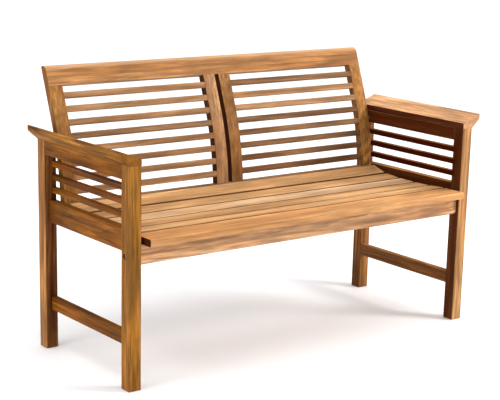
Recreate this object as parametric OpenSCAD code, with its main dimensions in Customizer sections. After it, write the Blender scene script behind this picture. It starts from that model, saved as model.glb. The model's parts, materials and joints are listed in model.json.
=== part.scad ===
// Two-seat garden bench in slatted hardwood.
// Millimetres, Z up, X along the bench, the sitter faces -Y.
// The origin is on the ground, in the middle of the bench's outline.

/* [Frame] */
// width over the outer faces of the legs
frame_w = 1292; // [1152:10:1402]
// depth over the front and back legs
frame_d = 503.5; // [499:0.5:510]
// width of every leg, seen from the front
leg_w = 39.5; // [38:0.5:42]
// depth of a front leg, seen from the side
front_leg_d = 41; // [38:1:44]
// depth of a back leg, seen from the side
back_leg_d = 41; // [37:1:41]
// height of the legs under the arm caps
leg_top = 636; // [630:1:645]
// chamfer around the foot of each leg
foot_chamfer = 2; // [1:0.5:4]

/* [Arms] */
// how far an arm cap overhangs the leg's outer face
cap_overhang = 31; // [20:0.5:34]
// height of the cap's raised outer edge above the legs
cap_rise = 44; // [38:1:48]
// upright lip of the cap's outer edge
cap_lip = 16.5; // [12:0.5:20]
// thickness of the cap at its inner edge
cap_inner_h = 18; // [14:1:24]
// height of the rail under the cap
arm_rail_h = 41; // [36:1:44]

/* [Side frames] */
// thickness of the slats below the arm
side_slat_t = 15; // [12:1:18]
// height of the slats below the arm
side_slat_h = 18; // [16:0.5:20]
// height of the open gaps between them
side_gap = 21; // [20:0.5:22.5]
// thickness of the side seat rail
side_rail_t = 24; // [22:1:28]
// lower edge of the side seat rail
side_rail_z = 390; // [385:1:395]
// thickness of the low stretcher
stretcher_t = 20; // [16:1:24]
// height of the low stretcher
stretcher_h = 40.5; // [34:0.5:46]
// lower edge of the low stretcher
stretcher_z = 120; // [90:1:180]

/* [Seat] */
// thickness of the seat slats
seat_slat_t = 21; // [18:1:22]
// width of the slats between the front and rear one
seat_slat_w = 61.5; // [60:0.5:63]
// clear length left between a slat end and the leg
seat_end_gap = 10; // [6:1:14]
// overhang of the front slat before the legs
nose_overhang = 31; // [20:1:36]
// height of the seat at its lowest point
seat_low_z = 430.5; // [428:0.5:434]
// tilt of the rear slat
rear_tilt = 16; // [10:1:18]
// height of the front apron
apron_h = 58; // [50:1:64]
// how far the apron stands behind the leg fronts
apron_inset = 13; // [8:1:16]

/* [Back] */
// lean of the lower part of the back
lean_low = 5; // [3:0.5:6]
// lean of the upper part of the back
lean_top = 20.5; // [18:0.5:22]
// radius of the bend between them
bend_r = 798; // [760:2:820]
// thickness of the stiles
stile_t = 25; // [23:1:27]
// width of the outer stiles
outer_stile_w = 44.5; // [40:0.5:50]
// width of the two middle stiles
inner_stile_w = 42.5; // [38:0.5:48]
// open gap between the two middle stiles
middle_gap = 16; // [10:1:24]
// clear height between the two rails, measured along the bend
back_clear = 348; // [340:0.5:354]
// height of a back slat
back_slat_h = 19; // [16:0.5:22]
// thickness of a back slat
back_slat_t = 12; // [10:1:14]
// how far the back slats stand behind the stile fronts
back_slat_inset = 1; // [0.5:0.5:6]

/* [Part] */

/* [Hidden] */
$fn = 20;
wood_frame = [0.62, 0.38, 0.18];
wood_back = [0.66, 0.42, 0.22];
wood_seat = [0.86, 0.64, 0.42];
steel = [0.62, 0.62, 0.64];
brass = [0.72, 0.58, 0.30];

side_slats = 3;
back_slats = 8;
seat_slats = 6;
fit = 0.15;
edge_r = 2.5;
// how far a cut runs on past the surface it opens
over = 1;
half_w = frame_w / 2;
inner_x = half_w - leg_w;

// back: y and z of the bend's lower end, from the leg fronts and the ground
bend_y = 423.9;
bend_z = 480;
bend_len = bend_r * (lean_top - lean_low) * PI / 180;
rail_low_s = -27.5;
rail_top_s = rail_low_s + back_clear;
back_gap = (back_clear - back_slats * back_slat_h) / (back_slats + 1);
back_pitch = back_slat_h + back_gap;
low_rail_h = 55;
low_rail_shoulder = 10;
low_rail_tenon_l = 20;
back_tenon_t = 10;
back_tenon_inset = 8;
top_tenon_l = 20;
stub = 15;
crest_h = 63.5;
crest_nose_r = 20;
crest_heel_r = 4;
// size of the masks that round the crest rail, larger than its section
crest_mask = 200;
back_side_gap = 4;
bend_overlap = 12;
stile_x = inner_x - back_side_gap;
slat_housing = 8;

// the point on the back's front surface at a length s along the bend,
// moved d behind the surface, as [y, z]
function lean_at(s) = s < 0 ? lean_low : s < bend_len ? lean_low + s / bend_r * 180 / PI : lean_top;
function bend_at(a) = [
    bend_y + bend_r * (cos(lean_low) - cos(a)),
    bend_z + bend_r * (sin(a) - sin(lean_low))
];
function past_bend(s) = s < 0 ? s : s < bend_len ? 0 : s - bend_len;
function on_back(s, d = 0) =
    bend_at(lean_at(s))
    + past_bend(s) * [sin(lean_at(s)), cos(lean_at(s))]
    + d * [cos(lean_at(s)), -sin(lean_at(s))];

crest_base = on_back(rail_top_s);
crest_rear = on_back(rail_top_s + crest_h - crest_heel_r, stile_t - crest_heel_r)[0] + crest_heel_r;
origin_y = (crest_rear - nose_overhang) / 2;

// seat: a shallow hollow with a raised rear slat
hollow_r = 1580;
hollow_y = 200;
seat_gap = 8.5;
// width of the front slat behind the leg fronts
front_slat_in = 56;
front_slat_w = nose_overhang + front_slat_in;
rear_slat_w = 62;
nose_r = 4;
slat_r = 3;
// the front slat lies this much below the hollow, the rear one this much above it
slat_step = 0.5;
seat_pitch = seat_slat_w + seat_gap;
seat_half = inner_x - seat_end_gap;
middle_start = front_slat_in + seat_gap;
rear_start = middle_start + (seat_slats - 2) * seat_pitch;
front_top_z = hollow_z(middle_start) - slat_step;
rear_top_z = hollow_z(rear_start) + slat_step;
function hollow_z(y) = seat_low_z + pow(y - hollow_y, 2) / (2 * hollow_r);
function middle_y(i) = middle_start + seat_slat_w / 2 + (i - 2) * seat_pitch;
function middle_tilt(i) = asin((middle_y(i) - hollow_y) / hollow_r);

apron_t = 20;
// chamfer along the apron's lower front edge: depth and height
apron_chamfer = [5, 8];
apron_y = apron_inset + apron_t / 2;
apron_top = front_top_z - seat_slat_t;
rear_rail_y = 385;
rear_rail_t = 22;
rear_rail_z = 391;
rear_rail_h = 32;
bearer_t = 22;
bearer_z = 385;
bearer_housing = 6;
bearer_stub_h = 20;

// joints
tenon_l = 22;
tenon_t = 12;
stretcher_tenon_t = 10;
// wood left above and below the tenons
arm_rail_shoulder = 7;
side_rail_shoulder = 10;
stretcher_shoulder = 6;
side_housing = 12;
dowel_r = 4;
dowel_l = 36;
dowel_edge = 9;
bolt_r = 3;
// a twelve-sided bore that a bolt just fills, where it crosses a barrel nut
bore_r = bolt_r / cos(15);
bolt_head_r = 6.5;
bolt_head_h = 5;
counterbore_r = 8;
counterbore_d = 9;
nut_r = 5;
nut_l = 14;
nut_setback = 10;
bolt_reach = 44;
lag_reach = 24;
// free depth past the ends of the bolts
bolt_room = 6;
lag_room = 2;
low_lag_s = -55;
plug_t = 3;
washer_r = 9;
screw_r = 2.25;
screw_head_r = 4.5;
screw_l = 34;
screw_into_slat = 14;
// length of the hole below a slat screw's head
screw_access_l = 60;
front_screw_in = 12;
rear_screw_in = 22;
bearer_screw_l = 38;
bearer_screw_y = [70, 200, 338];
bearer_screw_rise = 14;

apron_nut_y = apron_y - nut_l / 2;
apron_bolt = [apron_y, apron_top - apron_h / 2 - 1];
rear_bolt = [rear_rail_y + rear_rail_t / 2, rear_rail_z + rear_rail_h / 2];
low_lag = on_back(low_lag_s, stile_t / 2);
high_lag = [453.5, 608];
side_rail_top = leg_top - arm_rail_h - side_slats * side_slat_h - (side_slats + 1) * side_gap;
side_rail_h = side_rail_top - side_rail_z;
arm_tenon_h = arm_rail_h - 2 * arm_rail_shoulder;
side_tenon_h = side_rail_h - 2 * side_rail_shoulder;
stretcher_tenon_h = stretcher_h - 2 * stretcher_shoulder;
back_tenon_d = (stile_t - back_tenon_t) / 2;
lag_depth = lag_reach - back_side_gap + lag_room;

// ---------- helpers ----------

// the y-z drawings count y from the leg fronts; this brings them into the bench
module along_x(x0, x1)
    translate([x0, -origin_y, 0])
        rotate([90, 0, 90])
            linear_extrude(x1 - x0)
                children();

module in_depth() translate([0, -origin_y, 0]) children();

// a rectangle with rounded corners: radius r0 on the left, r1 on the right
module eased(w, h, r0, r1) {
    translate([r0, 0]) square([w - r0 - r1, h]);
    translate([0, r0]) square([r0, h - 2 * r0]);
    translate([w - r1, r1]) square([r1, h - 2 * r1]);
    for (z = [r0, h - r0])
        translate([r0, z]) circle(r0);
    for (z = [r1, h - r1])
        translate([w - r1, z]) circle(r1);
}

// a member running front to back between the legs, with a tenon at both ends
module side_member(x, z, t, h, tt, th) {
    translate([x, frame_d - back_leg_d, z])
        rotate([90, 0, 0])
            linear_extrude(frame_d - back_leg_d - front_leg_d)
                eased(t, h, edge_r, edge_r);
    side_tenons(x + t / 2, z + h / 2, tt, th);
}

// the pair of tenons of a side member, or with clear > 0 the mortises for them
module side_tenons(xc, zc, tt, th, clear = 0)
    translate([xc - tt / 2 - clear, front_leg_d - tenon_l - clear, zc - th / 2 - clear])
        cube([tt + 2 * clear, frame_d - back_leg_d - front_leg_d + 2 * (tenon_l + clear), th + 2 * clear]);

module x_bore(yz, r, x0, x1)
    translate([x0, yz[0], yz[1]])
        rotate([0, 90, 0])
            cylinder(r = r, h = x1 - x0);

// shapes drawn for a frame whose outer face is x = 0 and whose inside is +x
module left() translate([-half_w, -origin_y, 0]) children();
module right() mirror([1, 0, 0]) left() children();

// ---------- side frames ----------

module leg_blank(y, d)
    intersection() {
        translate([0, y, 0]) linear_extrude(leg_top) eased(leg_w, d, edge_r, edge_r);
        translate([0, y + d, 0])
            rotate([90, 0, 0])
                linear_extrude(d)
                    foot_outline(leg_w);
        translate([0, y, 0])
            rotate([90, 0, 90])
                linear_extrude(leg_w)
                    foot_outline(d);
    }

module foot_outline(w)
    polygon([
        [foot_chamfer, 0], [w - foot_chamfer, 0], [w, foot_chamfer],
        [w, leg_top], [0, leg_top], [0, foot_chamfer]
    ]);

module side_mortises() {
    side_tenons(leg_w / 2, leg_top - arm_rail_h / 2, tenon_t, arm_tenon_h, fit);
    side_tenons(leg_w - side_rail_t / 2, side_rail_z + side_rail_h / 2, tenon_t, side_tenon_h, fit);
    side_tenons(
        leg_w - stretcher_t / 2, stretcher_z + stretcher_h / 2,
        stretcher_tenon_t, stretcher_tenon_h, fit
    );
    for (i = [1 : side_slats])
        side_slat_bar(i, fit);
}

module side_slat_bar(i, clear = 0)
    translate([leg_w - side_slat_t, frame_d - back_leg_d + side_housing + clear, side_slat_z(i)])
        rotate([90, 0, 0])
            linear_extrude(frame_d - back_leg_d - front_leg_d + 2 * (side_housing + clear))
                translate([-clear, -clear])
                    eased(side_slat_t + 2 * clear, side_slat_h + 2 * clear, edge_r, edge_r);

// lower edge of the side slats, number 1 being the highest
function side_slat_z(i) = leg_top - arm_rail_h - i * (side_gap + side_slat_h);

module cap_dowel_pair(r)
    for (y = [dowel_edge, frame_d - dowel_edge])
        translate([leg_w / 2, y, leg_top - dowel_l / 2])
            cylinder(r = r, h = dowel_l);

module front_leg()
    difference() {
        leg_blank(0, front_leg_d);
        side_mortises();
        cap_dowel_pair(dowel_r);
        bolt_bore(apron_bolt, 0);
    }

module back_leg()
    difference() {
        leg_blank(frame_d - back_leg_d, back_leg_d);
        side_mortises();
        cap_dowel_pair(dowel_r);
    }

module arm_cap()
    difference() {
        translate([0, frame_d, leg_top])
            rotate([90, 0, 0])
                linear_extrude(frame_d)
                    polygon([
                        [0, 0], [leg_w, 0], [leg_w, cap_inner_h],
                        [-cap_overhang, cap_rise], [-cap_overhang, cap_rise - cap_lip]
                    ]);
        cap_dowel_pair(dowel_r);
    }

module arm_rail()
    difference() {
        side_member(0, leg_top - arm_rail_h, leg_w, arm_rail_h, tenon_t, arm_tenon_h);
        bolt_bore(high_lag, 0);
    }

module side_rail()
    difference() {
        side_member(leg_w - side_rail_t, side_rail_z, side_rail_t, side_rail_h, tenon_t, side_tenon_h);
        bolt_bore(low_lag, leg_w - side_rail_t);
        bolt_bore(rear_bolt, leg_w - side_rail_t);
        for (p = bearer_screw_points())
            x_bore(p, screw_r, leg_w - bearer_screw_l + bearer_t, leg_w + over);
    }

// counterbored hole for a bolt; x is the outer face it enters
module bolt_bore(yz, x) {
    x_bore(yz, bolt_r + fit, x - over, leg_w + over);
    x_bore(yz, counterbore_r, x - over, x + counterbore_d);
}

module stretcher()
    side_member(
        leg_w - stretcher_t, stretcher_z, stretcher_t, stretcher_h,
        stretcher_tenon_t, stretcher_tenon_h
    );

// ---------- seat ----------

// the cross-section of a seat slat laid on the seat: front, middle ones, rear
module seat_section(i)
    if (i == 1)
        translate([-nose_overhang, front_top_z - seat_slat_t])
            eased(front_slat_w, seat_slat_t, nose_r, slat_r);
    else if (i == seat_slats)
        translate([rear_start, rear_top_z])
            rotate(rear_tilt)
                translate([0, -seat_slat_t])
                    eased(rear_slat_w, seat_slat_t, slat_r, slat_r);
    else
        translate([middle_y(i), hollow_z(middle_y(i))])
            rotate(middle_tilt(i))
                translate([-seat_slat_w / 2, -seat_slat_t])
                    eased(seat_slat_w, seat_slat_t, slat_r, slat_r);

// both ends of a middle slat's underside, as [y, z]
function under(i, side) =
    [middle_y(i), hollow_z(middle_y(i))]
    + side * seat_slat_w / 2 * [cos(middle_tilt(i)), sin(middle_tilt(i))]
    + seat_slat_t * [sin(middle_tilt(i)), -cos(middle_tilt(i))];
function rear_under(d) =
    [rear_start, rear_top_z]
    + d * [cos(rear_tilt), sin(rear_tilt)]
    + seat_slat_t * [sin(rear_tilt), -cos(rear_tilt)];
function rear_under_at(y) =
    rear_under((y - rear_under(0)[0]) / cos(rear_tilt));
function bearer_top() = concat(
    [[apron_inset + apron_t, apron_top], [middle_start - seat_gap, apron_top]],
    [for (i = [2 : seat_slats - 1], side = [-1, 1]) under(i, side)],
    [rear_under(0), rear_under_at(rear_rail_y)]
);

module bearer_outline()
    polygon(concat(
        bearer_top(),
        [[rear_rail_y, bearer_z], [apron_inset + apron_t, bearer_z]]
    ));

// middle of each slat's underside, where its screw goes in, as [y, z, tilt]
function screw_spot(i) =
    i == 1 ? [apron_inset + apron_t + front_screw_in, apron_top, 0]
    : i == seat_slats ? concat(rear_under(rear_screw_in), [rear_tilt])
    : concat((under(i, -1) + under(i, 1)) / 2, [middle_tilt(i)]);
function bearer_screw_points() =
    [for (y = bearer_screw_y) [y, bearer_z + bearer_screw_rise]];
bearer_x = [-inner_x + bearer_t / 2, 0, inner_x - bearer_t / 2];

module slat_screw(i, x, r, head_r)
    translate([x, screw_spot(i)[0], screw_spot(i)[1]])
        rotate([screw_spot(i)[2], 0, 0])
            translate([0, 0, screw_into_slat - screw_l]) {
                cylinder(r = r, h = screw_l);
                cylinder(r1 = head_r, r2 = r, h = head_r - r);
            }

// access hole from below, up to the screw head
module slat_screw_access(i, x)
    translate([x, screw_spot(i)[0], screw_spot(i)[1]])
        rotate([screw_spot(i)[2], 0, 0])
            translate([0, 0, screw_into_slat - screw_l - screw_access_l])
                cylinder(r = screw_head_r + fit, h = screw_access_l);

module seat_slat(i)
    color(wood_seat)
        difference() {
            along_x(-seat_half, seat_half) seat_section(i);
            in_depth()
                for (x = bearer_x)
                    slat_screw(i, x, screw_r, screw_head_r);
        }

module bearer_body(x)
    difference() {
        children();
        in_depth()
            for (i = [1 : seat_slats]) {
                slat_screw(i, x, screw_r + fit, screw_head_r + fit);
                slat_screw_access(i, x);
            }
    }

module end_bearer()
    difference() {
        bearer_body(-inner_x + bearer_t / 2)
            along_x(-inner_x, -inner_x + bearer_t) bearer_outline();
        in_depth()
            for (p = bearer_screw_points()) {
                x_bore(p, screw_r + fit, -inner_x - over, -inner_x + bearer_t + over);
                translate([-inner_x + bearer_t - screw_head_r + screw_r, p[0], p[1]])
                    rotate([0, 90, 0])
                        cylinder(r1 = screw_r + fit, r2 = screw_head_r + fit, h = screw_head_r - screw_r);
            }
    }

module middle_bearer_stubs(clear = 0)
    along_x(-bearer_t / 2 - clear, bearer_t / 2 + clear)
        translate([apron_inset + apron_t - bearer_housing - clear, bearer_z - clear])
            square([
                rear_rail_y - apron_inset - apron_t + 2 * (bearer_housing + clear),
                bearer_stub_h + 2 * clear
            ]);

module apron_section()
    difference() {
        translate([apron_inset, apron_top - apron_h])
            eased(apron_t, apron_h, edge_r, edge_r);
        translate([apron_inset, apron_top - apron_h])
            polygon([[-over, -over], [apron_chamfer[0], -over], [-over, apron_chamfer[1]]]);
    }

// the two cross rails are drawn together with the holes for their bolts
module bolted_rail(yz, y0, y1)
    difference() {
        children();
        for (m = [0, 1])
            mirror([m, 0, 0])
                in_depth() {
                    x_bore(yz, bore_r + fit, -inner_x - over, -inner_x + bolt_reach + bolt_room, $fn = 12);
                    barrel(yz, nut_r + fit, y0, y1);
                }
        middle_bearer_stubs(fit);
    }

// barrel nut, or its hole, lying front to back around the bolt's end
module barrel(yz, r, y0, y1)
    translate([-inner_x + bolt_reach - nut_setback, y1, yz[1]])
        rotate([90, 0, 0])
            cylinder(r = r, h = y1 - y0);

// ---------- back ----------

bend_centre = [bend_y + bend_r * cos(lean_low), bend_z - bend_r * sin(lean_low)];

// a slab between two lengths along the straight parts of the back
module straight_slab(s0, s1, t, d = 0)
    polygon([on_back(s0, d), on_back(s1, d), on_back(s1, d + t), on_back(s0, d + t)]);

// a straight part of a stile, with a pointed end that lies inside the bent part
module stile_end(s0, s1, s_inside)
    polygon([
        on_back(s0), on_back(s1), on_back(s_inside, stile_t / 2),
        on_back(s1, stile_t), on_back(s0, stile_t)
    ]);

// the bent part: a piece of a ring about the bend's centre
module bent_slab()
    intersection() {
        translate(bend_centre)
            difference() {
                circle(bend_r, $fn = 180);
                circle(bend_r - stile_t, $fn = 180);
            }
        polygon([
            bend_centre,
            bend_centre + 2 * bend_r * [-cos(lean_low), sin(lean_low)],
            bend_centre + 2 * bend_r * [-cos(lean_top), sin(lean_top)]
        ]);
    }

module stile_outline(s0) {
    stile_end(s0, 0, bend_overlap);
    bent_slab();
    stile_end(rail_top_s, bend_len, bend_len - bend_overlap);
}

// tenon on a stile's upper end, or with clear > 0 its mortise in the crest rail
module top_tenon(x, w, clear = 0)
    along_x(x + back_tenon_inset - clear, x + w - back_tenon_inset + clear)
        straight_slab(
            rail_top_s - (clear > 0 ? 0 : over), rail_top_s + top_tenon_l + clear,
            back_tenon_t + 2 * clear, back_tenon_d - clear
        );

module low_tenon(x, w, clear = 0)
    along_x(x + back_tenon_inset - clear, x + w - back_tenon_inset + clear)
        straight_slab(
            rail_low_s - stub - clear, rail_low_s + (clear > 0 ? 0 : over),
            back_tenon_t + 2 * clear, back_tenon_d - clear
        );

// slat number i counts from the bottom
function back_slat_s(i) = rail_low_s + back_gap + (i - 1) * back_pitch + back_slat_h / 2;

module back_slat_section(i, clear = 0)
    translate(on_back(back_slat_s(i), back_slat_inset + back_slat_t / 2))
        rotate(-lean_at(back_slat_s(i)))
            translate([-back_slat_t / 2 - clear, -back_slat_h / 2 - clear])
                eased(back_slat_t + 2 * clear, back_slat_h + 2 * clear, edge_r, edge_r);

outer_stile_x = -stile_x;
inner_stile_x = -middle_gap / 2 - inner_stile_w;
panel_x0 = outer_stile_x + outer_stile_w;
panel_x1 = inner_stile_x;

module slat_housings()
    for (i = [1 : back_slats])
        along_x(panel_x0 - slat_housing - fit, panel_x1 + slat_housing + fit)
            back_slat_section(i, fit);

module back_slat(i)
    color(wood_back)
        along_x(panel_x0 - slat_housing, panel_x1 + slat_housing)
            back_slat_section(i);

module outer_stile()
    difference() {
        union() {
            along_x(outer_stile_x, outer_stile_x + outer_stile_w)
                stile_outline(rail_low_s - low_rail_h);
            top_tenon(outer_stile_x, outer_stile_w);
        }
        slat_housings();
        low_rail_tenon(fit);
        in_depth()
            for (yz = [low_lag, high_lag])
                x_bore(yz, bolt_r, outer_stile_x - over, outer_stile_x + lag_depth);
    }

module inner_stile()
    difference() {
        union() {
            along_x(inner_stile_x, inner_stile_x + inner_stile_w)
                stile_outline(rail_low_s);
            top_tenon(inner_stile_x, inner_stile_w);
            low_tenon(inner_stile_x, inner_stile_w);
        }
        slat_housings();
    }

module low_rail_tenon(clear = 0)
    along_x(panel_x0 - low_rail_tenon_l - clear, -panel_x0 + low_rail_tenon_l + clear)
        straight_slab(
            rail_low_s - low_rail_h + low_rail_shoulder - clear, rail_low_s - low_rail_shoulder + clear,
            back_tenon_t + 2 * clear, back_tenon_d - clear
        );

// rounds the crest rail's upper corner at x = 0: a disc with squares beside and below it
module crest_corner(r) {
    translate([r, crest_h - r]) circle(r);
    translate([0, crest_h - r - crest_mask]) square(crest_mask);
    translate([r, crest_h - crest_mask]) square(crest_mask);
}

// the crest rail leans with the stiles; its front edge is well rounded
module crest_section()
    translate(crest_base)
        rotate(-lean_top)
            intersection() {
                square([stile_t, crest_h]);
                crest_corner(crest_nose_r);
                translate([stile_t, 0]) mirror([1, 0]) crest_corner(crest_heel_r);
            }

// ---------- the separate pieces ----------

module left_front_leg() color(wood_frame) left() front_leg();
module right_front_leg() color(wood_frame) right() front_leg();
module left_back_leg() color(wood_frame) left() back_leg();
module right_back_leg() color(wood_frame) right() back_leg();
module left_arm_cap() color(wood_frame) left() arm_cap();
module right_arm_cap() color(wood_frame) right() arm_cap();
module left_arm_rail() color(wood_frame) left() arm_rail();
module right_arm_rail() color(wood_frame) right() arm_rail();
module left_side_slat_1() color(wood_frame) left() side_slat_bar(1);
module left_side_slat_2() color(wood_frame) left() side_slat_bar(2);
module left_side_slat_3() color(wood_frame) left() side_slat_bar(3);
module right_side_slat_1() color(wood_frame) right() side_slat_bar(1);
module right_side_slat_2() color(wood_frame) right() side_slat_bar(2);
module right_side_slat_3() color(wood_frame) right() side_slat_bar(3);
module left_side_rail() color(wood_frame) left() side_rail();
module right_side_rail() color(wood_frame) right() side_rail();
module left_stretcher() color(wood_frame) left() stretcher();
module right_stretcher() color(wood_frame) right() stretcher();

module front_apron()
    color(wood_frame)
        bolted_rail(apron_bolt, apron_nut_y - fit, apron_inset + apron_t + over)
            along_x(-inner_x, inner_x) apron_section();

module rear_seat_rail()
    color(wood_frame)
        bolted_rail(rear_bolt, rear_rail_y - over, rear_rail_y + nut_l + fit)
            along_x(-inner_x, inner_x)
                translate([rear_rail_y, rear_rail_z])
                    eased(rear_rail_t, rear_rail_h, edge_r, edge_r);

module left_seat_bearer() color(wood_frame) end_bearer();
module right_seat_bearer() color(wood_frame) mirror([1, 0, 0]) end_bearer();
module middle_seat_bearer()
    color(wood_frame)
        bearer_body(0)
            union() {
                along_x(-bearer_t / 2, bearer_t / 2) bearer_outline();
                middle_bearer_stubs();
            }

module seat_slat_1() seat_slat(1);
module seat_slat_2() seat_slat(2);
module seat_slat_3() seat_slat(3);
module seat_slat_4() seat_slat(4);
module seat_slat_5() seat_slat(5);
module seat_slat_6() seat_slat(6);

module back_top_rail()
    color(wood_back)
        difference() {
            along_x(-stile_x, stile_x) crest_section();
            for (m = [0, 1])
                mirror([m, 0, 0]) {
                    top_tenon(outer_stile_x, outer_stile_w, fit);
                    top_tenon(inner_stile_x, inner_stile_w, fit);
                }
        }

module back_bottom_rail()
    color(wood_back)
        difference() {
            union() {
                along_x(panel_x0, -panel_x0)
                    straight_slab(rail_low_s - low_rail_h, rail_low_s, stile_t);
                low_rail_tenon();
            }
            for (m = [0, 1])
                mirror([m, 0, 0]) low_tenon(inner_stile_x, inner_stile_w, fit);
        }

module left_outer_stile() color(wood_back) outer_stile();
module right_outer_stile() color(wood_back) mirror([1, 0, 0]) outer_stile();
module left_inner_stile() color(wood_back) inner_stile();
module right_inner_stile() color(wood_back) mirror([1, 0, 0]) inner_stile();

module left_back_slat_1() back_slat(1);
module left_back_slat_2() back_slat(2);
module left_back_slat_3() back_slat(3);
module left_back_slat_4() back_slat(4);
module left_back_slat_5() back_slat(5);
module left_back_slat_6() back_slat(6);
module left_back_slat_7() back_slat(7);
module left_back_slat_8() back_slat(8);
module right_back_slat_1() mirror([1, 0, 0]) back_slat(1);
module right_back_slat_2() mirror([1, 0, 0]) back_slat(2);
module right_back_slat_3() mirror([1, 0, 0]) back_slat(3);
module right_back_slat_4() mirror([1, 0, 0]) back_slat(4);
module right_back_slat_5() mirror([1, 0, 0]) back_slat(5);
module right_back_slat_6() mirror([1, 0, 0]) back_slat(6);
module right_back_slat_7() mirror([1, 0, 0]) back_slat(7);
module right_back_slat_8() mirror([1, 0, 0]) back_slat(8);

// a bolt from a counterbore at x to an end inside the bench
module bolt(yz, x, end) {
    x_bore(yz, bolt_r, x + counterbore_d - bolt_head_h, end);
    x_bore(yz, bolt_head_r, x + counterbore_d - bolt_head_h, x + counterbore_d);
}

module frame_bolts()
    color(steel)
        for (m = [0, 1])
            mirror([m, 0, 0]) left() {
                bolt(apron_bolt, 0, leg_w + bolt_reach);
                bolt(rear_bolt, leg_w - side_rail_t, leg_w + bolt_reach);
            }

module barrel_nuts()
    color(steel)
        for (m = [0, 1])
            mirror([m, 0, 0])
                in_depth()
                    difference() {
                        union() {
                            barrel(apron_bolt, nut_r, apron_nut_y, apron_nut_y + nut_l);
                            barrel(rear_bolt, nut_r, rear_rail_y, rear_rail_y + nut_l);
                        }
                        for (yz = [apron_bolt, rear_bolt])
                            x_bore(yz, bore_r, -inner_x, -inner_x + bolt_reach + over, $fn = 12);
                    }

module back_lag_bolts()
    color(steel)
        for (m = [0, 1])
            mirror([m, 0, 0]) left() {
                bolt(high_lag, 0, leg_w + lag_reach);
                bolt(low_lag, leg_w - side_rail_t, leg_w + lag_reach);
            }

module spacer_washers()
    color(steel)
        for (m = [0, 1], yz = [high_lag, low_lag])
            mirror([m, 0, 0]) left()
                difference() {
                    x_bore(yz, washer_r, leg_w, leg_w + back_side_gap);
                    x_bore(yz, bolt_r + fit, leg_w - over, leg_w + back_side_gap + over);
                }

module bolt_plugs()
    color(wood_frame)
        for (m = [0, 1])
            mirror([m, 0, 0]) left() {
                x_bore(high_lag, counterbore_r, 0, plug_t);
                x_bore(low_lag, counterbore_r, leg_w - side_rail_t, leg_w - side_rail_t + plug_t);
                x_bore(rear_bolt, counterbore_r, leg_w - side_rail_t, leg_w - side_rail_t + plug_t);
            }

module cap_dowels()
    color(wood_frame) {
        left() cap_dowel_pair(dowel_r);
        right() cap_dowel_pair(dowel_r);
    }

module seat_screws()
    color(brass)
        in_depth()
            for (i = [1 : seat_slats], x = bearer_x)
                slat_screw(i, x, screw_r, screw_head_r);

module bearer_screws()
    color(brass)
        for (m = [0, 1], p = bearer_screw_points())
            mirror([m, 0, 0])
                in_depth() {
                    x_bore(p, screw_r, -inner_x + bearer_t - bearer_screw_l, -inner_x + bearer_t);
                    translate([-inner_x + bearer_t - screw_head_r + screw_r, p[0], p[1]])
                        rotate([0, 90, 0])
                            cylinder(r1 = screw_r, r2 = screw_head_r, h = screw_head_r - screw_r);
                }

left_front_leg();
right_front_leg();
left_back_leg();
right_back_leg();
left_arm_cap();
right_arm_cap();
left_arm_rail();
right_arm_rail();
left_side_slat_1();
left_side_slat_2();
left_side_slat_3();
right_side_slat_1();
right_side_slat_2();
right_side_slat_3();
left_side_rail();
right_side_rail();
left_stretcher();
right_stretcher();
front_apron();
rear_seat_rail();
left_seat_bearer();
middle_seat_bearer();
right_seat_bearer();
seat_slat_1();
seat_slat_2();
seat_slat_3();
seat_slat_4();
seat_slat_5();
seat_slat_6();
back_top_rail();
back_bottom_rail();
left_outer_stile();
left_inner_stile();
right_inner_stile();
right_outer_stile();
left_back_slat_1();
left_back_slat_2();
left_back_slat_3();
left_back_slat_4();
left_back_slat_5();
left_back_slat_6();
left_back_slat_7();
left_back_slat_8();
right_back_slat_1();
right_back_slat_2();
right_back_slat_3();
right_back_slat_4();
right_back_slat_5();
right_back_slat_6();
right_back_slat_7();
right_back_slat_8();
frame_bolts();
barrel_nuts();
back_lag_bolts();
spacer_washers();
bolt_plugs();
cap_dowels();
seat_screws();
bearer_screws();
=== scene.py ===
"""Looks of the garden bench: oiled hardwood on every piece, with its small steel and brass hardware."""

import json
import math
import random

import bpy
from mathutils import Matrix, Vector


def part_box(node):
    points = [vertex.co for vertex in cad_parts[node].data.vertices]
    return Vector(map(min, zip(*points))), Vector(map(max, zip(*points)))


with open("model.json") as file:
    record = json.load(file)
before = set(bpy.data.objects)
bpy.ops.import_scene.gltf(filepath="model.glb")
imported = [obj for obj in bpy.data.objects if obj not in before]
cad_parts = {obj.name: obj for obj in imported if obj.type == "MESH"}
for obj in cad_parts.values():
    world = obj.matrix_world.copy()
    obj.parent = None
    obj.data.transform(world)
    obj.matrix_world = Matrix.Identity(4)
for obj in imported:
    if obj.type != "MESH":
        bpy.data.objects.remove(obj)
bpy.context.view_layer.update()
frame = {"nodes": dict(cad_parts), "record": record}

IMAGE_W = 500
SENSOR_MM = 36.0

# camera: its place counts y from the fronts of the legs
CAM_PLACE = (-2.6027, -3.09905, 1.3498)
CAM_AZIMUTH = -37.62
CAM_ELEVATION = 14.56
CAM_ROLL = 1.42
CAM_FOCAL = 1398.5 / IMAGE_W
CAM_SHIFT = (-0.0119, 0.1110)
CAM_CLIP = 1000.0

# sky: dim below the first height and bright above the second, both as sines of the elevation
SKY_LOW, SKY_HIGH = 0.45, 0.95
SKY_DIM, SKY_BRIGHT = 0.10, 3.00

# lamps: a key from the right and in front, and a fill from the left
KEY_PLACE = (3.4, -3.2, 3.0)
KEY_TARGET = (0.1, 0.0, 0.4)
KEY_SIZE = 1.6
KEY_WATTS = 170.0
KEY_COLOUR = (1.0, 0.97, 0.93)
FILL_PLACE = (-5.0, -0.6, 1.5)
FILL_TARGET = (0.0, 0.0, 0.4)
FILL_SIZE = 2.4
FILL_WATTS = 75.0
FILL_COLOUR = (1.0, 1.0, 1.0)

# floor: half its side, and its surface
FLOOR_HALF = 400.0
FLOOR_COLOUR = (0.94, 0.95, 0.97)
FLOOR_ROUGHNESS = 0.85

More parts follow.
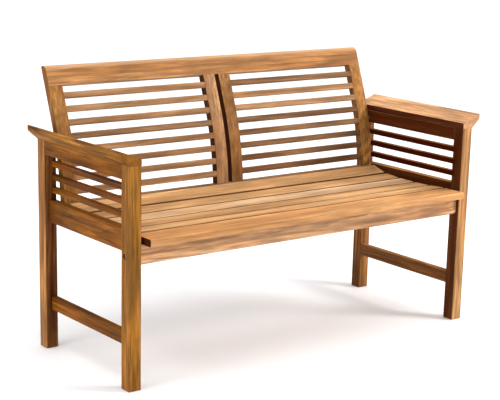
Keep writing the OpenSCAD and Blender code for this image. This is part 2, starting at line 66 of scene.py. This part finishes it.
# rounding of the arm caps' edges
EDGE_WIDTH = 0.0018
EDGE_STEPS = 3
EDGE_ANGLE = 25.0
WELD_GAP = 0.00001

# axis of the grain by the word found in the node's name; the other pieces run along x
ALONG_X, ALONG_Y, ALONG_Z = range(3)
GRAIN = (
    ("arm_cap", ALONG_Y),
    ("arm_rail", ALONG_Y),
    ("side_slat", ALONG_Y),
    ("side_rail", ALONG_Y),
    ("stretcher", ALONG_Y),
    ("bearer", ALONG_Y),
    ("leg", ALONG_Z),
    ("stile", ALONG_Z),
)

# linear colours of the wood: light ground, darker figure, and the dark tone that the dark ends and the
# painted shade go to
TONES = {
    "frame_wood": ((0.50, 0.215, 0.062), (0.17, 0.045, 0.008), (0.050, 0.006, 0.001)),
    "back_wood": ((0.53, 0.245, 0.085), (0.22, 0.066, 0.014), (0.045, 0.005, 0.001)),
    "seat_wood": ((0.70, 0.390, 0.170), (0.33, 0.120, 0.030), (0.040, 0.005, 0.001)),
}

# shades: what a board multiplies its tone by, in red, green and blue
HONEY = (0.68, 0.66, 0.32)
TOFFEE = (0.50, 0.40, 0.10)
RUSSET = (0.62, 0.62, 0.56)
UMBER = (0.46, 0.52, 0.66)
# dark brown, which also holds the painted shade under the left arm rail
MAHOGANY_AND_SHADE = (0.34, 0.24, 0.07)
MAPLE = (0.78, 0.78, 0.60)
ASH = (0.76, 0.90, 1.20)
OAK = (0.88, 0.92, 0.96)
CEDAR = (0.94, 0.88, 0.82)
STRAW = (1.00, 1.20, 1.60)
CREAM = (1.50, 2.02, 3.60)

# the shade of each board, matched to how the board looks lit, so that it holds painted light and shade
# besides the board's own tone; the first word found in the node's name counts, and RUSSET when there is none
SHADES = (
    ("left_arm_cap", HONEY),
    ("left_front_leg", HONEY),
    ("left_back_leg", OAK),
    ("left_arm_rail", TOFFEE),
    # painted shade: the first two left side slats are darker, as if shaded by the arm rail above them
    ("left_side_slat_1", MAHOGANY_AND_SHADE),
    ("left_side_slat_2", MAHOGANY_AND_SHADE),
    ("left_side", TOFFEE),
    ("left_stretcher", TOFFEE),
    ("right_arm_cap", CREAM),
    ("right_front_leg", STRAW),
    ("right_stretcher", OAK),
    ("right_arm_rail", OAK),
    ("right_side_rail", OAK),
    ("left_inner_stile", STRAW),
    ("outer_stile", MAPLE),
    ("front_apron", CREAM),
    ("seat_slat_1", CEDAR),
    ("seat_slat_4", STRAW),
    ("seat_slat", OAK),
    ("back_bottom_rail", ASH),
    ("back_top_rail", OAK),
    ("left_back_slat_5", UMBER),
    ("left_back_slat", ASH),
    ("right_back_slat_6", ASH),
    ("right_back_slat_7", STRAW),
    ("right_back_slat", UMBER),
)

# share of the dark tone on a piece's ends, dark end grain with painted shade over it, and of painted shade
# on its left and right sides and on its front;
# the first word found in the node's name counts, and PLAIN_FACES when there is none
PLAIN_FACES = (0.6, 0.0, 0.0, 0.0)
# painted shade on the inner sides of the frames and stiles, and on the left back leg's front
DARK_FACES = (
    ("seat_slat", (0.97, 0.0, 0.0, 0.0)),
    ("left_arm_cap", (0.15, 0.0, 0.95, 0.0)),
    ("right_arm_cap", (0.15, 0.95, 0.0, 0.0)),
    ("inner_stile", (0.5, 0.88, 0.88, 0.0)),
    ("outer_stile", (0.5, 0.3, 0.3, 0.0)),
    ("left_back_leg", (0.6, 0.0, 0.9, 0.62)),
    ("right_back_leg", (0.6, 0.25, 0.0, 0.0)),
    ("right_stretcher", (0.6, 0.40, 0.0, 0.0)),
    ("right_side_slat", (0.6, 1.0, 0.0, 0.0)),
    ("left_", (0.6, 0.0, 0.90, 0.0)),
    ("right_", (0.6, 0.90, 0.0, 0.0)),
)

# the piece whose upper faces get a painted highlight, the paler colour the highlight goes to, and by how
# much
PAINTED_HIGHLIGHT_PIECE = "back_top_rail"
HIGHLIGHT_TONE = (0.72, 0.50, 0.31)
HIGHLIGHT_SHARE = 0.42

# share of the dark tone painted as shade on the long sides of the seat slats, in the gaps between them, and
# on those of the front one
GAP_DARK = 0.72
NOSE_DARK = 0.14
FRONT_SLAT = "seat_slat_1"

# how strongly streaks and clouds lighten and darken each wood
CONTRAST = {"frame_wood": 1.6, "back_wood": 1.25, "seat_wood": 0.95}

# how much the noises keep of their scale along the grain: the fine figure is long, the clouds are shorter
GRAIN_KEEP = 0.06
CLOUD_KEEP = 0.22

# how far a board's figure is moved through the noises at most, so that no two boards are alike
FIGURE_SHIFT = 20

# noises of the wood and the metal: scale, detail, roughness and, for some, distortion
CLOUDS = (19.0, 2.0, 0.5, 0.4)
BROAD_STREAKS = (20.0, 3.0, 0.55, 0.6)
RING_FADE = (22.0, 2.0, 0.5)
RING_WAVES = (14.0, 3.0, 0.55)
FIBRES = (120.0, 3.0, 0.65)
PORES = (620.0, 2.0, 0.5)
TARNISH = (160.0, 4.0, 0.6)
SCRATCHES = (900.0, 2.0, 0.5)

# growth rings: their width, the pith's distance from the board's middle and its slope, the waves in
# the rings, and how late in a ring the dark wood comes
RING_WIDTH = 0.0130
PITH_NEAR, PITH_FAR = 0.030, 0.055
PITH_SLOPE = 0.045
WAVE_DEPTH = 0.045
LATE_WOOD = 1.6

# part of each noise's range that shows
FADE_RANGE = (0.35, 0.65)
STREAK_RANGE = (0.42, 0.60)
FIGURE_RANGE = (0.36, 0.64)
PORE_RANGE = (0.62, 0.74)

# how much the figure lightens and darkens the wood, before the contrast of its kind
FAINTEST_RING = 0.2
STREAK_SHARE = 0.60
FIBRE_LIGHT, FIBRE_DARK = 0.25, 0.35
CLOUD_LIGHT, CLOUD_DARK = 0.20, 0.27
PORE_TONE = 0.70

# a face looks along a direction when its normal's share of it passes from the first number to the second
FACING = (0.80, 0.94)
STEEP = (0.55, 0.95)
UPWARD = (0.42, 0.90)

# end grain shows this much of an even tone, and worn edges this much of a lighter one
END_SHARE, END_TONE = 0.65, 0.6
WORN_RANGE = (0.52, 0.60)
WORN_SHARE, WORN_TONE = 0.22, 1.25

# gloss and relief of the wood: broad streaks are drier, open pores rougher, and the dark ends and the faces
# with painted shade duller
DRY_RANGE = (0.3, 0.7)
WOOD_ROUGHNESS = (0.48, 0.62)
OPEN_RANGE = (0.6, 0.75)
PORE_ROUGHNESS = 0.12
END_AND_SHADE_RANGE = (0.0, 0.9)
GLOSS = (0.09, 0.01)
WOOD_BUMP = (0.22, 0.0006)
FIBRE_RELIEF, PORE_RELIEF, RING_RELIEF = 0.6, 0.5, 0.25

# metals: colour and roughness, then what tarnish and scratches do to both
STEEL = ((0.34, 0.33, 0.31), 0.42)
BRASS = ((0.46, 0.32, 0.13), 0.38)
TARNISH_RANGE = (0.4, 0.7)
TARNISH_SHARE, TARNISH_TONE = 0.6, 0.55
SCRATCH_ALONG = (0.2, 1.0, 1.0)
SCRATCH_RANGE = (0.3, 0.7)
POLISHED, SCRATCHED = -0.08, 0.12
METAL_BUMP = (0.15, 0.0003)


class Tree:
    """A short way to add and link the nodes of one material or world."""

    def __init__(self, owner):
        owner.use_nodes = True
        self.owner = owner
        self.tree = owner.node_tree
        self.tree.nodes.clear()

    def add(self, kind, **values):
        node = self.tree.nodes.new(kind)
        for key, value in values.items():
            setattr(node, key, value)
        return node

    def link(self, source, target):
        self.tree.links.new(source, target)

    def put(self, socket, value):
        if isinstance(value, bpy.types.NodeSocket):
            self.link(value, socket)
        else:
            socket.default_value = value

    def math(self, operation, a, b=0.0):
        node = self.add("ShaderNodeMath", operation=operation)
        self.put(node.inputs[0], a)
        self.put(node.inputs[1], b)
        return node.outputs[0]

    def apart(self, vector):
        """The x, y and z of a vector."""
        node = self.add("ShaderNodeSeparateXYZ")
        self.link(vector, node.inputs[0])
        return node.outputs

    def scaled(self, vector, scale, offset=(0.0, 0.0, 0.0)):
        node = self.add("ShaderNodeMapping")
        self.link(vector, node.inputs["Vector"])
        node.inputs["Scale"].default_value = scale
        node.inputs["Location"].default_value = offset
        return node.outputs["Vector"]

    def noise(self, vector, scale, detail, roughness, distortion=0.0):
        node = self.add("ShaderNodeTexNoise")
        self.link(vector, node.inputs["Vector"])
        node.inputs["Scale"].default_value = scale
        node.inputs["Detail"].default_value = detail
        node.inputs["Roughness"].default_value = roughness
        node.inputs["Distortion"].default_value = distortion
        return node.outputs[0]

    def span(self, value, low, high, out_low=0.0, out_high=1.0, curve="LINEAR"):
        """Carries the range low..high over to out_low..out_high and holds the ends."""
        node = self.add("ShaderNodeMapRange", clamp=True, interpolation_type=curve)
        self.link(value, node.inputs["Value"])
        node.inputs["From Min"].default_value = low
        node.inputs["From Max"].default_value = high
        node.inputs["To Min"].default_value = out_low
        node.inputs["To Max"].default_value = out_high
        return node.outputs[0]

    def mix(self, factor, a, b, blend="MIX"):
        node = self.add("ShaderNodeMix", data_type="RGBA", blend_type=blend)
        self.put(node.inputs["Factor"], factor)
        self.put(node.inputs[6], (*a, 1.0) if isinstance(a, tuple) else a)
        self.put(node.inputs[7], (*b, 1.0) if isinstance(b, tuple) else b)
        return node.outputs[2]

    def bump(self, height, strength, distance, shader):
        node = self.add("ShaderNodeBump")
        node.inputs["Strength"].default_value = strength
        node.inputs["Distance"].default_value = distance
        self.link(height, node.inputs["Height"])
        self.link(node.outputs[0], shader.inputs["Normal"])

    def finish(self, shader, kind="ShaderNodeOutputMaterial"):
        self.link(shader.outputs[0], self.add(kind).inputs["Surface"])
        return self.owner


def first_match(table, name, otherwise):
    return next((value for word, value in table if word in name), otherwise)


def stretched(axis, keep):
    return tuple(keep if index == axis else 1.0 for index in range(3))


def ring_figure(t, place, along, axis, middle, rng):
    """Growth rings about a tilted pith beside the board: 0 in the early wood to 1 in the late wood."""
    apart = t.apart(place)
    angle = rng.uniform(0.0, 2.0 * math.pi)
    away = rng.uniform(PITH_NEAR, PITH_FAR)
    across = [index for index in range(3) if index != axis]
    squares = []
    for index, share in zip(across, (math.cos(angle), math.sin(angle))):
        pith = middle[index] + away * share
        slope = rng.uniform(-PITH_SLOPE, PITH_SLOPE)
        tilt = t.math("MULTIPLY", t.math("SUBTRACT", apart[axis], middle[axis]), slope)
        offset = t.math("SUBTRACT", t.math("SUBTRACT", apart[index], pith), tilt)
        squares.append(t.math("MULTIPLY", offset, offset))
    distance = t.math("SQRT", t.math("ADD", squares[0], squares[1]))
    waves = t.math("MULTIPLY", t.math("SUBTRACT", t.noise(along, *RING_WAVES), 0.5), WAVE_DEPTH)
    turns = t.math("DIVIDE", t.math("ADD", distance, waves), RING_WIDTH)
    return t.math("POWER", t.math("FRACT", turns), LATE_WOOD)


def dark_ends_and_painted_shade(t, name, slot_name, facing, normal, dark_faces):
    """Share of the dark tone: ends soak up oil and go dark and get painted shade besides, some sides get
    painted shade, and so do the long sides of the seat slats in the gaps.
    """
    low, high = FACING
    on_end, on_left, on_right, on_front = dark_faces
    end_and_shade_dark = t.span(facing, low, high, 0.0, on_end)
    # painted shade on the sides listed for the piece
    end_and_shade_dark = t.math("MAXIMUM", end_and_shade_dark, t.span(normal[0], -high, -low, on_left, 0.0))
    end_and_shade_dark = t.math("MAXIMUM", end_and_shade_dark, t.span(normal[0], low, high, 0.0, on_right))
    end_and_shade_dark = t.math("MAXIMUM", end_and_shade_dark, t.span(normal[1], -high, -low, on_front, 0.0))
    # painted shade in the gaps between the seat slats and on the front slat's long sides
    if slot_name == "seat_wood":
        dark = NOSE_DARK if name.endswith(FRONT_SLAT) else GAP_DARK
        side = t.math("ABSOLUTE", normal[1])
        end_and_shade_dark = t.math("MAXIMUM", end_and_shade_dark, t.span(side, *STEEP, 0.0, dark))
    return end_and_shade_dark


def wood(name, slot_name, axis, seed, middle, shade, dark_faces):
    """Oiled hardwood with grain along one axis. The seed moves the figure, the shade scales the channels."""
    light, dark, deep = TONES[slot_name]
    contrast = CONTRAST[slot_name]
    t = Tree(bpy.data.materials.new(name))
    place = t.add("ShaderNodeTexCoord").outputs["Object"]
    rng = random.Random(seed)
    shift = tuple(rng.uniform(-FIGURE_SHIFT, FIGURE_SHIFT) for _ in range(3))
    along = t.scaled(place, stretched(axis, GRAIN_KEEP), shift)

    rings = ring_figure(t, place, along, axis, middle, rng)
    fade = t.span(t.noise(along, *RING_FADE), *FADE_RANGE, FAINTEST_RING, 1.0)
    broad = t.noise(along, *BROAD_STREAKS)
    fibre = t.noise(along, *FIBRES)
    pores = t.noise(along, *PORES)
    cloud = t.noise(t.scaled(place, stretched(axis, CLOUD_KEEP), shift), *CLOUDS)

    # the figure: rings and broad streaks of the darker tone, then fibres, pores and clouds over both
    ground = t.mix(t.math("MULTIPLY", rings, fade), light, dark)
    ground = t.mix(t.math("MULTIPLY", t.span(broad, *STREAK_RANGE), STREAK_SHARE), ground, dark)
    fine = t.span(fibre, *FIGURE_RANGE, 1.0 + FIBRE_LIGHT * contrast, 1.0 - FIBRE_DARK * contrast)
    wide = t.span(cloud, *FIGURE_RANGE, 1.0 + CLOUD_LIGHT * contrast, 1.0 - CLOUD_DARK * contrast)
    grey = t.math("MULTIPLY", fine, t.span(pores, *PORE_RANGE, 1.0, PORE_TONE))
    grey = t.math("MULTIPLY", grey, wide)
    scale = t.add("ShaderNodeCombineColor")
    for channel, share in zip(scale.inputs, shade):
        t.link(t.math("MULTIPLY", grey, share), channel)
    colour = t.mix(1.0, ground, scale.outputs[0], "MULTIPLY")

    # the faces: plain end grain, dark ends and painted shade on shaded faces, a painted highlight on upper
    # faces
    geometry = t.add("ShaderNodeNewGeometry")
    normal = t.apart(geometry.outputs["True Normal"])
    facing = t.math("ABSOLUTE", normal[axis])
    plain = tuple(END_TONE * (a + b) * share for a, b, share in zip(light, dark, shade))
    colour = t.mix(t.span(facing, *FACING, 0.0, END_SHARE), colour, plain)
    end_and_shade_dark = dark_ends_and_painted_shade(t, name, slot_name, facing, normal, dark_faces)
    # the dark ends and the painted shade go to the dark tone
    colour = t.mix(end_and_shade_dark, colour, deep)
    # painted highlight on the upper faces of the top rail
    if name.endswith(PAINTED_HIGHLIGHT_PIECE):
        colour = t.mix(t.span(normal[2], *UPWARD, 0.0, HIGHLIGHT_SHARE), colour, HIGHLIGHT_TONE)

    # worn edges have lost a little of their colour
    worn = t.span(geometry.outputs["Pointiness"], *WORN_RANGE, 0.0, WORN_SHARE)
    worn = t.math("MULTIPLY", worn, t.math("SUBTRACT", 1.0, end_and_shade_dark))
    pale = tuple(min(1.0, tone * share * WORN_TONE) for tone, share in zip(light, shade))
    colour = t.mix(worn, colour, pale)

    shader = t.add("ShaderNodeBsdfPrincipled")
    t.link(colour, shader.inputs["Base Color"])
    dry = t.span(broad, *DRY_RANGE, *WOOD_ROUGHNESS)
    rough = t.math("ADD", dry, t.span(pores, *OPEN_RANGE, 0.0, PORE_ROUGHNESS))
    t.link(rough, shader.inputs["Roughness"])
    # the dark ends and the painted shade are also less glossy
    t.link(t.span(end_and_shade_dark, *END_AND_SHADE_RANGE, *GLOSS), shader.inputs["Specular IOR Level"])
    height = t.math("ADD", t.math("MULTIPLY", fibre, FIBRE_RELIEF), t.math("MULTIPLY", pores, PORE_RELIEF))
    height = t.math("SUBTRACT", height, t.math("MULTIPLY", rings, RING_RELIEF))
    t.bump(height, *WOOD_BUMP, shader)
    return t.finish(shader)


def metal(name, colour, roughness):
    """Dull plated metal with fine scratches and a little tarnish."""
    t = Tree(bpy.data.materials.new(name))
    place = t.add("ShaderNodeTexCoord").outputs["Object"]
    tarnish = t.noise(place, *TARNISH)
    scratch = t.noise(t.scaled(place, SCRATCH_ALONG), *SCRATCHES)
    dull = tuple(channel * TARNISH_TONE for channel in colour)
    shader = t.add("ShaderNodeBsdfPrincipled")
    shader.inputs["Metallic"].default_value = 1.0
    dulled = t.span(tarnish, *TARNISH_RANGE, 0.0, TARNISH_SHARE)
    t.link(t.mix(dulled, colour, dull), shader.inputs["Base Color"])
    rough = t.span(scratch, *SCRATCH_RANGE, roughness + POLISHED, roughness + SCRATCHED)
    t.link(rough, shader.inputs["Roughness"])
    t.bump(scratch, *METAL_BUMP, shader)
    return t.finish(shader)


def dress_nodes():
    """Gives each node its material; the wooden ones differ in shade, figure and dark faces."""
    slots = {part["node"]: part["material_slot"] for part in frame["record"]["subparts"]}
    metals = {"steel": metal("steel_plated", *STEEL), "brass": metal("brass_dull", *BRASS)}
    for seed, name in enumerate(sorted(frame["nodes"]), start=100):
        piece = frame["nodes"][name]
        low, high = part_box(name)
        material = metals.get(slots[name]) or wood(
            "wood_" + name,
            slots[name],
            first_match(GRAIN, name, ALONG_X),
            seed,
            (low + high) / 2,
            first_match(SHADES, name, RUSSET),
            first_match(DARK_FACES, name, PLAIN_FACES),
        )
        piece.data.materials.clear()
        piece.data.materials.append(material)
        for face in piece.data.polygons:
            face.material_index = 0


def ease_edges(piece):
    """Rounds the sharp edges of a piece by a small bevel."""
    piece.modifiers.new("weld", "WELD").merge_threshold = WELD_GAP
    bevel = piece.modifiers.new("ease", "BEVEL")
    bevel.width = EDGE_WIDTH
    bevel.segments = EDGE_STEPS
    bevel.limit_method = "ANGLE"
    bevel.angle_limit = math.radians(EDGE_ANGLE)
    bevel.harden_normals = True


def floor():
    mesh = bpy.data.meshes.new("floor")
    corners = [(x * FLOOR_HALF, y * FLOOR_HALF, 0.0) for x, y in ((-1, -1), (1, -1), (1, 1), (-1, 1))]
    mesh.from_pydata(corners, [], [(0, 1, 2, 3)])
    obj = bpy.data.objects.new("floor", mesh)
    bpy.context.scene.collection.objects.link(obj)
    t = Tree(bpy.data.materials.new("floor_white"))
    shader = t.add("ShaderNodeBsdfPrincipled")
    shader.inputs["Base Color"].default_value = (*FLOOR_COLOUR, 1.0)
    shader.inputs["Roughness"].default_value = FLOOR_ROUGHNESS
    mesh.materials.append(t.finish(shader))


def area_light(name, place, target, size, watts, colour):
    data = bpy.data.lights.new(name, "AREA")
    data.shape = "DISK"
    data.size = size
    data.energy = watts
    data.color = colour
    obj = bpy.data.objects.new(name, data)
    obj.location = place
    obj.rotation_euler = (Vector(target) - Vector(place)).to_track_quat("-Z", "Y").to_euler()
    bpy.context.scene.collection.objects.link(obj)


def lights():
    """A soft sky, bright overhead and dim near the ground, with a key and a fill light. Past the floor
    the camera itself sees a plain white backdrop."""
    world = bpy.data.worlds.new("studio")
    bpy.context.scene.world = world
    t = Tree(world)
    height = t.apart(t.add("ShaderNodeTexCoord").outputs["Generated"])[2]
    sky = t.add("ShaderNodeBackground")
    strength = t.span(height, SKY_LOW, SKY_HIGH, SKY_DIM, SKY_BRIGHT, "SMOOTHSTEP")
    t.link(strength, sky.inputs["Strength"])
    backdrop = t.add("ShaderNodeBackground")
    backdrop.inputs["Color"].default_value = (1.0, 1.0, 1.0, 1.0)
    seen = t.add("ShaderNodeMixShader")
    t.link(t.add("ShaderNodeLightPath").outputs["Is Camera Ray"], seen.inputs["Fac"])
    t.link(sky.outputs[0], seen.inputs[1])
    t.link(backdrop.outputs[0], seen.inputs[2])
    t.finish(seen, "ShaderNodeOutputWorld")
    area_light("key", KEY_PLACE, KEY_TARGET, KEY_SIZE, KEY_WATTS, KEY_COLOUR)
    area_light("fill", FILL_PLACE, FILL_TARGET, FILL_SIZE, FILL_WATTS, FILL_COLOUR)


def camera():
    """Looks at the bench from the photograph's place, with its slight roll and its shifted centre."""
    az, el, roll = (math.radians(angle) for angle in (CAM_AZIMUTH, CAM_ELEVATION, CAM_ROLL))
    forward = Vector((-math.sin(az) * math.cos(el), math.cos(az) * math.cos(el), -math.sin(el)))
    right = forward.cross(Vector((0, 0, 1))).normalized()
    up = right.cross(forward)
    turned_right = math.cos(roll) * right + math.sin(roll) * up
    turned_up = -math.sin(roll) * right + math.cos(roll) * up
    data = bpy.data.cameras.new("camera")
    data.sensor_width = SENSOR_MM
    data.lens = CAM_FOCAL * SENSOR_MM
    data.shift_x, data.shift_y = CAM_SHIFT
    data.clip_end = CAM_CLIP
    obj = bpy.data.objects.new("camera", data)
    turn = Matrix((turned_right, turned_up, -forward)).transposed()
    leg_fronts = Vector((0.0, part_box("left_front_leg")[0].y, 0.0))
    obj.matrix_world = Matrix.Translation(leg_fronts + Vector(CAM_PLACE)) @ turn.to_4x4()
    bpy.context.scene.collection.objects.link(obj)
    bpy.context.scene.camera = obj


bpy.context.scene.view_settings.view_transform = "Standard"
camera()
dress_nodes()
for cap in ("left_arm_cap", "right_arm_cap"):
    ease_edges(frame["nodes"][cap])
floor()
lights()
